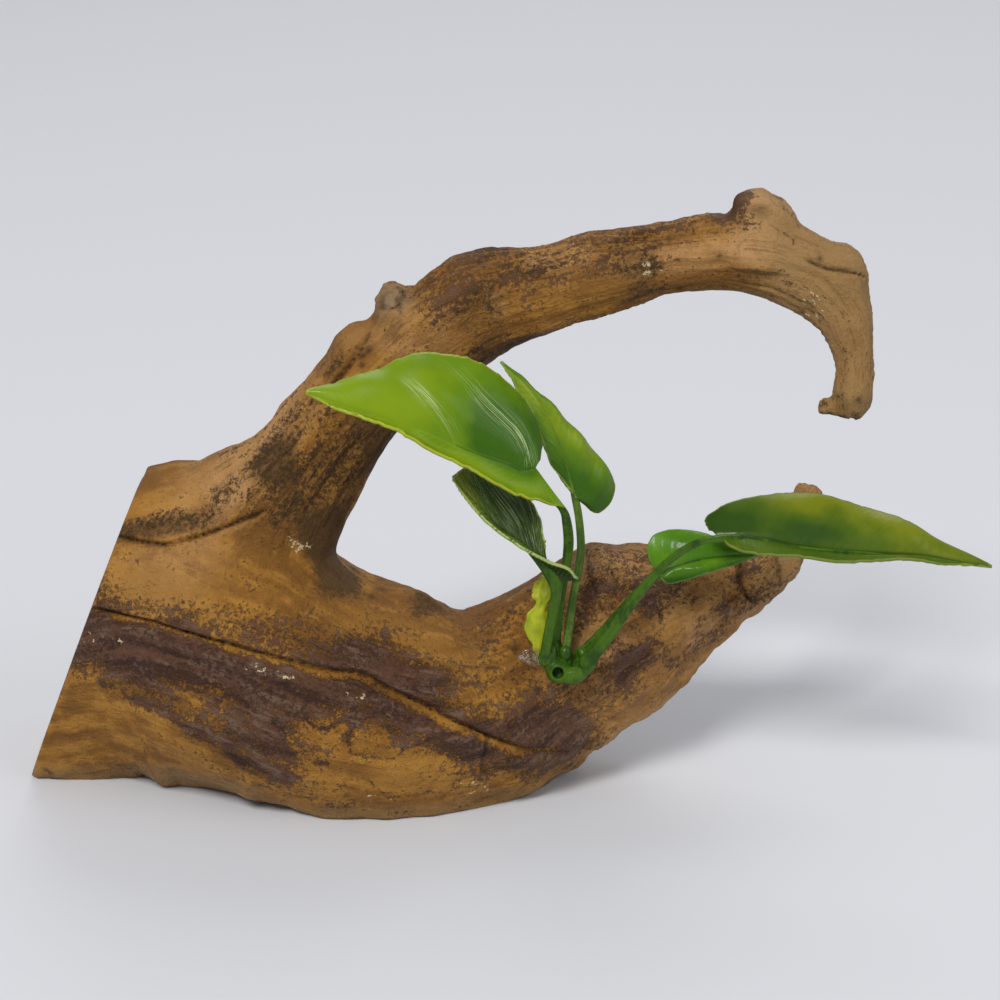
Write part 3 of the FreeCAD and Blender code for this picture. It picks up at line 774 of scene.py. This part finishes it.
def makeDriftwood():
    made = driftwood
    source = frame["nodes"]["driftwood_casting"]
    piece = bpy.data.objects.new("driftwoodCasting", source.data.copy())
    bpy.context.scene.collection.objects.link(piece)
    selectOnly(piece)
    bpy.ops.object.mode_set(mode="EDIT")
    bpy.ops.mesh.select_all(action="SELECT")
    bpy.ops.mesh.remove_doubles(threshold=0.00001)
    bpy.ops.object.mode_set(mode="OBJECT")
    voxel = made["voxel"] * 1
    applyModifier(piece, "REMESH", mode="VOXEL", voxel_size=voxel * mm)
    applyModifier(piece, "SMOOTH", factor=0.5, iterations=4)
    points = pointsOf(piece) / mm
    group = piece.vertex_groups.new(name="joins")
    weights = np.zeros(len(points))
    for middle, radius in made["joins"]:
        distance = np.linalg.norm(points - np.array(middle, float), axis=1)
        weights = np.maximum(weights, ease(radius, radius * 0.55, distance))
    fromEdge = np.minimum(points[:, 2], 3) / 3
    for number in np.nonzero(weights * fromEdge > 0.02)[0]:
        group.add([int(number)], float(weights[number] * fromEdge[number]), "REPLACE")
    applyModifier(piece, "SMOOTH", factor=0.5, iterations=90, vertex_group="joins")
    points = pointsOf(piece) / mm
    normals = normalsOf(piece)
    print("driftwood: shaping", len(points), "points")
    height = reliefOf(Wood(points, normals))
    moved = points + normals * height[:, None]
    skirtX, skirtShift = np.array(made["skirt"]).T
    drawn = np.interp(points[:, 0], skirtX, skirtShift) * ease(15, 1, points[:, 2])
    moved[:, 1] += drawn * ease(10, -3, points[:, 1])
    middle, radius, rise = made["tipLift"]
    moved[:, 2] += rise * bell(np.linalg.norm(points - np.array(middle), axis=1), radius)
    onBase = points[:, 2] < 0.4
    moved[onBase, 2] = points[onBase, 2]
    moved[:, 2] = np.maximum(moved[:, 2], 0)
    movePoints(piece, moved * mm)
    faces = sum(len(face.vertices) - 2 for face in piece.data.polygons)
    if faces > made["triangles"]:
        applyModifier(piece, "DECIMATE", ratio=made["triangles"] / faces)
    points = pointsOf(piece) / mm
    wood = Wood(points, normalsOf(piece))
    for name, values in coloursOf(wood).items():
        keepOn(piece, name, np.clip(values, 0, 1))
    keepOn(piece, "trunkGrain", wood.trunkSpace * mm)
    keepOn(piece, "archGrain", wood.archSpace * mm)
    dress(piece, driftwoodPaint())
    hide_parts("driftwood_casting")
    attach(piece, "ornament")
    print("driftwood: done,", len(piece.data.polygons), "faces")


# Lines of each frond in mm from the foot of its stem, from its base to its tip. Matching stations of
# the rib and an edge are the two ends of one vein. The stem's fourth number is its half width.
fronds = {
    "upper": {
        "stem": [(0, 0, 0, 1.3), (0.3, -0.6, 6, 1.2), (1.2, -1.2, 15, 1.15), (2.4, -1.6, 23, 1.2),
                 (2.9, -2.2, 29, 1.3), (2.4, -3.6, 34.7, 1.2), (1.2, -4.6, 39.0, 0.9),
                 (-3, -5.8, 43.5, 0.5)],
        "rib": [(-5.6, -5.5, 50.3), (-9, -6.5, 50), (-13.2, -7.6, 52.2), (-22.2, -9, 55.8),
                (-28.2, -10, 59.2), (-35.6, -11, 62.6), (-45, -11.4, 66.4), (-53.6, -10.8, 69),
                (-60.6, -9.6, 70.6)],
        "above": [(-4.6, -3.4, 51.8), (-4.4, 0.4, 57), (-9, 3, 65.6), (-17.3, 4, 72.8),
                  (-25.5, 3.4, 75.8), (-34.6, 1.4, 77), (-44, -2, 74), (-53, -6, 72),
                  (-60.6, -9.6, 71)],
        "below": [(1.8, -6, 39.8), (-4.4, -8.5, 42.5), (-9.6, -10.5, 44.6), (-18.8, -12.5, 50.6),
                  (-28, -13.5, 55.8), (-36.4, -13.8, 61), (-45.5, -13.2, 65), (-54, -11.6, 67.6),
                  (-60.6, -9.6, 70.2)],
        "camber": (2.2, -0.6), "pitch": 1.9, "veinHeight": 0.02, "jag": 0.3,
        "slant": -1.4, "furrows": 0.05,
        # areas of painted highlight streaks: place along and across, sizes, strength
        "shine": [((0.41, 0.36), (0.045, 0.22), 0.9), ((0.06, 0.42), (0.060, 0.28), 0.85)],
        "swell": (0.3, 20), "rough": 0.33, "veins": 0.16, "ribEnd": 0.5,
        "patches": [((0.80, 0.3), (0.36, 1.6), 0.55), ((0.27, 0.28), (0.13, 0.36), -0.8),
                    ((0.08, 0.6), (0.17, 0.8), -0.5), ((0.2, -0.7), (0.35, 0.5), 0.42)],
    },
    "lower": {
        "stem": [(0, 0, 0, 1.35), (0.5, -0.8, 4.2, 1.3), (1.7, -2.2, 12.4, 1.3), (2.7, -3.4, 18.8, 1.4),
                 (2.4, -3.8, 22, 1.7), (1, -3.6, 24.7, 1.6), (-1.5, -2.8, 27.4, 1.1),
                 (-5, -1.8, 31, 0.6)],
        "rib": [(2.3, -3.5, 22.7), (-0.9, -3, 27), (-3.7, -2.4, 30), (-7, -1.6, 32.5), (-11.8, 0, 35.5),
                (-17.5, 1.8, 41), (-23, 3.4, 47)],
        "above": [(-0.4, -1, 29.5), (-0.5, 1, 32.6), (-1.6, 2.4, 38), (-6, 3.4, 44), (-14.3, 4.4, 49),
                  (-19.3, 4.6, 49.6), (-23, 3.4, 47.4)],
        "below": [(8.5, -6, 23.8), (3.8, -6.5, 27.6), (-2.8, -5.5, 30), (-8, -4.4, 33.2),
                  (-12.8, -2.6, 36), (-18.4, 0.4, 41), (-23, 3.4, 46.6)],
        "camber": (-1.4, 0.2), "pitch": 1.3, "veinHeight": 0.15, "jag": 0.25,
        "slant": -0.9,
        # an area of painted highlight streaks
        "shine": [((0.5, 0.45), (0.8, 0.5), 0.35)], "furrows": 0.85,
        "swell": (0.3, 11), "rough": 0.36, "veins": 0.5,
        "patches": [((0.45, 0.4), (0.28, 0.8), -0.35), ((0.95, 0.0), (0.16, 1.5), 0.75),
                    ((0.12, 0.4), (0.16, 0.6), 0.20), ((0.5, -0.7), (0.4, 0.4), 0.25),
                    ((0.04, -0.7), (0.14, 0.6), -0.45)],
    },
    "middle": {
        "stem": [(0, 0, 0, 1.1), (0.8, 2.2, 5, 1.05), (1.8, 5, 12, 1.05), (3, 6.8, 18.5, 1.05),
                 (3.9, 7.8, 25, 1.05), (3.4, 9, 32.5, 1.0), (2.3, 9.6, 38.5, 0.95),
                 (0.6, 10, 46, 0.65)],
        "rib": [(2.3, 9.6, 38.6), (1, 9.8, 43), (-0.8, 10.2, 49.3), (-3.6, 10.8, 56), (-7, 11.6, 62.5),
                (-11.4, 12.4, 68), (-16.4, 13, 72.9)],
        "above": [(3.6, 10, 37.6), (8.6, 12, 33.5), (12.6, 15, 38.8), (8.4, 15.5, 47), (0.7, 15, 56),
                  (-8, 14, 64.7), (-16.4, 13, 73.1)],
        "below": [(1.8, 9.4, 39.4), (-1.2, 8.2, 44), (-4.8, 7.6, 49.6), (-7.2, 8.4, 56.6),
                  (-9.6, 9.8, 62.3), (-13, 11.4, 67.5), (-16.4, 13, 72.7)],
        "camber": (1.6, 0.4), "pitch": 2.1, "veinHeight": 0.03, "jag": 0.12,
        "slant": -1.2, "furrows": 0.12,
        "swell": (0.4, 12), "rough": 0.32, "veins": 0.3,
        "patches": [((0.15, 0.6), (0.22, 0.9), -0.35), ((0.55, 0.5), (0.22, 0.8), 0.48),
                    ((0.75, -0.5), (0.35, 0.6), 0.40), ((0.25, -0.6), (0.25, 0.5), -0.2)],
    },
    "long": {
        "stem": [(0, 0, 0, 1.9), (3.4, -1, 4.4, 1.75), (7.4, -1.6, 10.6, 1.5), (13.2, -2.4, 20, 1.2),
                 (18.9, -3.2, 27.6, 1.05), (24.5, -4.2, 32.7, 1.0), (29.5, -5.6, 35.4, 0.95),
                 (38, -6.8, 36.4, 0.9), (52, -7.2, 33.6, 0.8), (72, -6.8, 31.8, 0.6),
                 (90, -5.4, 29.4, 0.4)],
        "rib": [(32, -5, 35.7), (38.6, -6, 36.3), (45.6, -6.4, 35.2), (52.6, -6.4, 33.4),
                (60.7, -6.2, 32.3), (71, -6, 31.8), (81.7, -5.6, 31.2), (90.6, -5.2, 29.6),
                (99.8, -4.6, 27.9)],
        "above": [(30.3, -2.5, 36.6), (29.5, 1, 38), (36, 4, 41.5), (45.5, 5.4, 43.3), (56, 5.6, 43),
                  (67, 4.4, 41), (76.3, 2.4, 38.4), (87, -1, 33.6), (99.8, -4.6, 28.1)],
        "below": [(32.9, -6.5, 35.6), (35.5, -9, 34.6), (43, -10, 33.3), (52, -10, 32.2),
                  (61.4, -9.6, 31.4), (70.7, -8.8, 31), (80.2, -7.8, 30.8), (89.8, -6.2, 29.2),
                  (99.8, -4.6, 27.7)],
        "camber": (1.8, 0.3), "pitch": 2.8, "veinHeight": 0.02, "jag": 0.15,
        "slant": -1.0, "furrows": 0.04,
        "swell": (0.5, 24), "rough": 0.33, "veins": 0.16,
        # the darker and lighter patches at 0.46 and 0.44 along paint shade and light either side of a
        # fold
        "patches": [((0.08, 0.5), (0.26, 0.9), -0.32), ((0.44, 0.62), (0.10, 0.28), 0.42),
                    ((0.46, 0.30), (0.10, 0.20), -0.30), ((0.80, 0.5), (0.22, 0.8), 0.48),
                    ((0.60, 0.95), (0.30, 0.25), 0.50), ((0.4, -0.7), (0.6, 0.6), 0.12)],
    },
    "short": {
        "stem": [(0, 0, 0, 1.3), (5.9, 1, 6, 1.3), (13.6, 0.9, 15.8, 1.2), (18.5, 0.6, 20.6, 1.1),
                 (23, 0.8, 23.4, 0.9), (30, 1.2, 25, 0.6)],
        "rib": [(19.9, 1, 21.3), (24.8, 1.3, 23.8), (31.3, 1.7, 25.2), (37.8, 2.3, 25.7),
                (44.4, 3, 26)],
        "above": [(17.6, 2, 24), (16.7, 3.6, 28.3), (20.4, 5, 31.4), (29, 5.6, 31), (44.4, 3, 26.2)],
        "below": [(19.8, 0, 20.7), (22.4, -0.8, 19.7), (28.8, -1, 21.7), (36.5, 0.4, 23.7),
                  (44.4, 3, 25.8)],
        "camber": (1.4, 0.8), "pitch": 2.4, "veinHeight": 0.03, "jag": 0.12,
        "slant": -0.9, "furrows": 0.08,
        "swell": (0.4, 13), "rough": 0.30, "veins": 0.25,
        "patches": [((0.2, 0.3), (0.2, 0.4), 0.35), ((0.62, -0.4), (0.3, 0.4), 0.40),
                    ((0.5, 0.9), (0.6, 0.3), 0.25), ((0.3, -0.9), (0.5, 0.2), -0.35)],
    },
}
bladeShape = {
    "faces": (220, 60),       # along and across
    "stations": 660,
    "evened": 60,             # stations on each side that even out the turn
    "thick": 0.8,
    "ribDepth": 0.25,
    "sag": 0.35,
}


def makeGrid(name, faces, stations):
    # a flat grid, and for its points: how far along, how far across, and the nearest station
    bpy.ops.mesh.primitive_grid_add(x_subdivisions=faces[0], y_subdivisions=faces[1], size=2)
    piece = bpy.context.object
    piece.name = name
    flat = pointsOf(piece)
    u = (flat[:, 0] + 1) / 2
    return piece, u, flat[:, 1], np.clip((u * stations).round().astype(int), 0, stations)


def makeBlade(name, lines, foot, material):
    made = bladeShape
    fine, evened = made["stations"], made["evened"]
    piece, u, v, row = makeGrid(name, made["faces"], fine)
    rib, above, below = (smoothLine(lines[key], fine + 1) for key in ("rib", "above", "below"))
    outer = np.where((v > 0)[:, None], above[row], below[row]) - rib[row]
    reach = np.abs(v)
    width = np.linalg.norm(outer, axis=1)
    middle = rib[row] + outer * reach[:, None]
    normal = np.cross(np.gradient(rib, axis=0), above - below)
    normal /= np.linalg.norm(normal, axis=1)[:, None] + 1e-9
    # one steady turn along the blade, facing the viewer
    window = np.ones(2 * evened + 1) / (2 * evened + 1)
    normal = np.stack([np.convolve(np.pad(part, evened, "edge"), window, "valid")
                       for part in normal.T], axis=1)
    normal *= -np.sign(normal[:, 1].sum())
    normal = (normal / (np.linalg.norm(normal, axis=1)[:, None] + 1e-9))[row]
    taper = ease(0, 0.06, u) * ease(1, 0.85, u)
    ribEnd = lines.get("ribEnd", 1.0)
    camber = np.where(v > 0, lines["camber"][0], lines["camber"][1]) * 4 * reach * (1 - reach)
    camber *= np.sin(np.pi * np.clip(u * 0.92 + 0.08, 0, 1)) ** 0.7
    length = np.linalg.norm(np.diff(rib, axis=0), axis=1).sum()
    travel = u * length + reach * width * lines["slant"]
    pitch = lines["pitch"]

    def flatRipple(across, size, seed, layers=1):
        return ripples(np.stack([u * length, across, 0 * u], axis=1), size, seed, layers)

    travel = travel + 0.25 * pitch * flatRipple(v * 3, (6, 4, 1), 3)
    crease = ease(0.02, 0.15, reach) * ease(1.02, 0.84, reach) * taper
    wave = np.cos(2 * np.pi * travel / pitch) + 0.4 * np.cos(4 * np.pi * travel / pitch + 1)
    veins = lines["veinHeight"] * wave * crease
    swellSize, swellLength = lines["swell"]
    swell = swellSize * np.cos(2 * np.pi * (travel / swellLength + 0.15)) * ease(0.1, 0.6, reach) * taper
    sag = made["sag"] * flatRipple(v * 8, (14, 6, 1), 7)
    onRib = ease(ribEnd, ribEnd - 0.2, u)
    offset = camber + veins + swell + sag * crease - made["ribDepth"] * bell(v, 0.03) * taper * onRib
    jag = flatRipple(np.sign(v) * 5, (1.3, 1, 1), 17, 2)
    pull = lines["jag"] * jag * ease(0.86, 1.0, reach) * taper
    outward = outer / (width[:, None] + 1e-9)
    points = middle + normal * offset[:, None] + outward * pull[:, None]
    movePoints(piece, (points * mm) + np.array(foot))
    leafMap = piece.data.uv_layers.new(name="leafMap")
    corners = np.zeros(len(piece.data.loops), int)
    piece.data.loops.foreach_get("vertex_index", corners)
    unrolled = np.stack([travel[corners] / length, v[corners] / 2 + 0.5], axis=1)
    leafMap.data.foreach_set("uv", unrolled.astype(np.float32).ravel())
    # green tone, with painted shade and light at a fold on the long blade
    wash = np.full(len(u), 0.35)
    for (atU, atV), (sizeU, sizeV), amount in lines["patches"]:
        wash += amount * np.exp(-((u - atU) / sizeU) ** 2 - ((v - atV) / sizeV) ** 2)
    fromEdge = np.minimum((1 - reach) * width, (1 - u) * length * 0.5)
    # where the pale streaks of painted highlight lie
    paintedHighlight = np.zeros(len(u))
    for (atTravel, atV), (sizeTravel, sizeV), amount in lines.get("shine", []):
        paintedHighlight += amount * bell((travel / length - atTravel) / sizeTravel, 1) * bell((v - atV) / sizeV, 1)
    keepOn(piece, "paintedHighlight", np.clip(paintedHighlight, 0, 1))
    keepOn(piece, "wash", np.clip(wash, 0, 1))
    keepOn(piece, "rim", ease(0.38, 0.08, fromEdge + 0.15 * jag) * ease(0, 0.05, u))
    keepOn(piece, "ribLine", bell(reach * width, 0.45) * onRib)
    # painted shade in the troughs between the veins
    keepOn(piece, "furrowShade", lines["furrows"] * ease(-0.3, -1.0, wave) * crease * ease(0.97, 0.8, reach))
    applyModifier(piece, "SOLIDIFY", thickness=made["thick"] * mm, offset=0)
    dress(piece, material)
    return piece


stemShape = {
    "stations": 34,
    "flatter": 0.35,          # how much thinner than wide
    "channel": 0.30,          # depth of the channel down the face, in half widths
}


def makeStem(name, stations, foot, material):
    made = stemShape
    count = made["stations"]
    run = smoothLine(stations, count)
    bpy.ops.curve.primitive_nurbs_path_add()
    curve = bpy.context.object
    curve.name = name
    curve.data.splines.clear()
    spline = curve.data.splines.new("NURBS")
    spline.points.add(count - 1)
    for point, (x, y, z, width) in zip(spline.points, run):
        point.co = (*(Vector((x, y, z)) * mm + foot), 1)
        point.radius = width
    spline.order_u = 3
    spline.use_endpoint_u = True
    curve.data.bevel_depth = mm
    curve.data.bevel_resolution = 9
    curve.data.resolution_u = 4
    curve.data.use_fill_caps = True
    settle(curve)
    selectOnly(curve)
    bpy.ops.object.convert(target="MESH")
    piece = bpy.context.object
    points = pointsOf(piece)
    centre = run[:, :3] * mm + np.array(foot)
    nearest = np.argmin(np.linalg.norm(points[:, None, :] - centre[None, :, :], axis=2), axis=1)
    along = np.gradient(centre, axis=0)[nearest]
    side = np.cross(along, (0, 1, 0))
    side /= np.linalg.norm(side, axis=1)[:, None]
    away = points - centre[nearest]
    width = run[nearest, 3] * mm
    across = np.sum(away * side, axis=1) / width
    points[:, 1] -= away[:, 1] * made["flatter"]
    points[:, 1] += made["channel"] * width * ease(0.1, 0.8, -away[:, 1] / width) * bell(across, 0.38)
    movePoints(piece, points)
    dress(piece, material)
    return piece


def makeFronds():
    stemLook = stemPlastic("stemPlastic", (0.018, 0.054, 0.002), (0.048, 0.112, 0.003))
    paleStem = stemPlastic("paleStemPlastic", (0.050, 0.100, 0.010), (0.105, 0.180, 0.022))
    for word, lines in fronds.items():
        foot = feet[word + "_frond"]
        blade = makeBlade(word + "Blade", lines, foot, leafPlastic(word, lines["rough"], lines["veins"]))
        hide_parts(word + "_blade")
        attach(blade, word + "_frond")
        stem = makeStem(word + "Stem", lines["stem"], foot, paleStem if word == "middle" else stemLook)
        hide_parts(word + "_stem")
        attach(stem, word + "_frond")
        print("frond:", word)
    return stemLook


hub = {
    "voxel": 0.16,
    # lumps that run together into the foot: middle from the node's centre, half sizes, turn in the face
    "lumps": [((-2.2, 0, 0.2), (3.2, 2.3, 3.2), 0), ((1.4, 0, -0.9), (3.6, 2.1, 2.3), 8),
              ((-4.2, -0.2, 3.4), (1.8, 1.5, 4.0), -6), ((-2.0, 1.8, 3.4), (1.5, 2.0, 3.0), 4),
              ((0.3, 1.2, 3.9), (1.35, 1.5, 3.0), 8), ((4.6, 1.2, 4.0), (1.5, 1.6, 3.0), 38),
              ((5.0, 0, 1.5), (4.2, 1.5, 2.0), 48), ((3.4, 2.2, 1.4), (2.2, 2.4, 2.2), 30)],
    "seat": (0.6, 0, -0.6),          # from the node's centre
    "collar": (1.7, 1.5, 2.1),       # round the foot of each stem
    "pinPlace": (-2.3, 0, -0.2),
    "pinRadius": 1.25,
    "pinDepth": 3.4,
    "flats": (-1.9, 4.0),            # the flat face and back
    "tilt": -20,                     # degrees
}


def makeHub(material):
    low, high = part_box("plant_hub")
    middle = (low + high) / 2
    tilt = math.radians(hub["tilt"])
    seat = middle + Vector(hub["seat"]) * mm
    back = Matrix.Rotation(-tilt, 3, "X")
    collars = [(back @ (foot - seat) / mm, hub["collar"], 0) for foot in feet.values()]
    parts = []
    for offset, sizes, turn in hub["lumps"] + collars:
        bpy.ops.mesh.primitive_uv_sphere_add(segments=40, ring_count=24, radius=mm)
        lump = bpy.context.object
        lump.scale = sizes
        lump.rotation_euler = (0, -math.radians(turn), 0)
        lump.location = Vector(offset) * mm
        settle(lump)
        parts.append(lump)
    piece = joinAll(parts)
    piece.name = "plantFoot"
    applyModifier(piece, "REMESH", mode="VOXEL", voxel_size=hub["voxel"] * mm)
    applyModifier(piece, "SMOOTH", factor=0.5, iterations=25)
    points = pointsOf(piece) / mm
    # the open pin hole has a raised lip
    points[:, 1] = np.clip(points[:, 1], *hub["flats"])
    fromPin = np.hypot(points[:, 0] - hub["pinPlace"][0], points[:, 2] - hub["pinPlace"][2])
    face = points[:, 1] < 0
    inHole = ease(hub["pinRadius"] + 0.25, hub["pinRadius"] - 0.25, fromPin)
    points[:, 1] += face * (hub["pinDepth"] * inHole - 0.25 * bell(fromPin - 1.9, 0.5))
    movePoints(piece, points * mm)
    applyModifier(piece, "SMOOTH", factor=0.5, iterations=2)
    piece.rotation_euler = (tilt, 0, 0)
    piece.location = seat
    settle(piece)
    dress(piece, material)
    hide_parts("plant_hub")
    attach(piece, "ornament")
    peg = frame["nodes"]["anchor_peg"]
    peg.data.materials.clear()
    peg.data.materials.append(material)
    print("foot of the plant")


sprigShape = {
    # the lobed sprig, and the tip of a second one: rib, half widths from base to tip
    "lobes": [([(66.4, -22.4, 42.8), (66, -22.2, 47), (65.4, -21.8, 53.5), (66.8, -21, 58.5),
                (67.2, -20, 61.3), (67.4, -19.2, 64.3)],
               [0.7, 1.3, 2.0, 3.2, 2.6, 1.2, 2.6, 2.9, 1.9, 0.4]),
              ([(70.9, -21.3, 49), (71.2, -21.4, 51.6), (71.4, -21.5, 53.6), (71.1, -21.5, 55.6)],
               [0.2, 0.6, 0.7, 0.55, 0.2])],
    "faces": (90, 30),
    "stations": 200,
    "thick": 0.8,
}


def makeSprig():
    made = sprigShape
    blades = []
    for line, widths in made["lobes"]:
        fine = made["stations"]
        blade, u, v, row = makeGrid("sprigLobe", made["faces"], fine)
        width = smoothLine([(value,) for value in widths], fine + 1)[row, 0]
        edge = 1 + 0.09 * np.sin(u * 34 + 2 * np.sign(v)) + 0.06 * np.sin(u * 61 + np.sign(v))
        across = np.array((0.97, 0.1, 0.05))
        points = smoothLine(line, fine + 1)[row] + across * (v * width * edge)[:, None]
        crumple = ripple(np.stack([u * 20, v * 4, 0 * u], axis=1), (3, 2, 1), 5)
        points[:, 1] += 0.8 * v ** 2 + 0.4 * crumple
        movePoints(blade, points * mm)
        applyModifier(blade, "SOLIDIFY", thickness=made["thick"] * mm, offset=0)
        blades.append(blade)
    piece = joinAll(blades)
    piece.name = "lobedSprig"
    dress(piece, sprigPlastic())
    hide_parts("sprig")
    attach(piece, "ornament")
    print("sprig")


glueShape = {
    "lumps": 0.16,
    "endCut": 1.1,
    "size": (1, 0.75, 0.95),         # of half the node's box
}


def makeGlue():
    low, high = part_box("glue_bead")
    middle = (low + high) / 2
    half = np.array((high - low) / 2)
    bpy.ops.mesh.primitive_ico_sphere_add(subdivisions=5, radius=1)
    piece = bpy.context.object
    piece.name = "glueBead"
    points = pointsOf(piece)
    points *= 1 + glueShape["lumps"] * ripples(points, 0.7, 3, 2)[:, None]
    points[:, 0] = np.clip(points[:, 0], -glueShape["endCut"], glueShape["endCut"])
    points = points * half * glueShape["size"] + np.array(middle)
    movePoints(piece, points)
    dress(piece, gluePlastic())
    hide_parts("glue_bead")
    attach(piece, "ornament")
    print("glue")


setCamera()
setStudio()
makeDriftwood()
stemLook = makeFronds()
makeHub(stemLook)
makeSprig()
makeGlue()
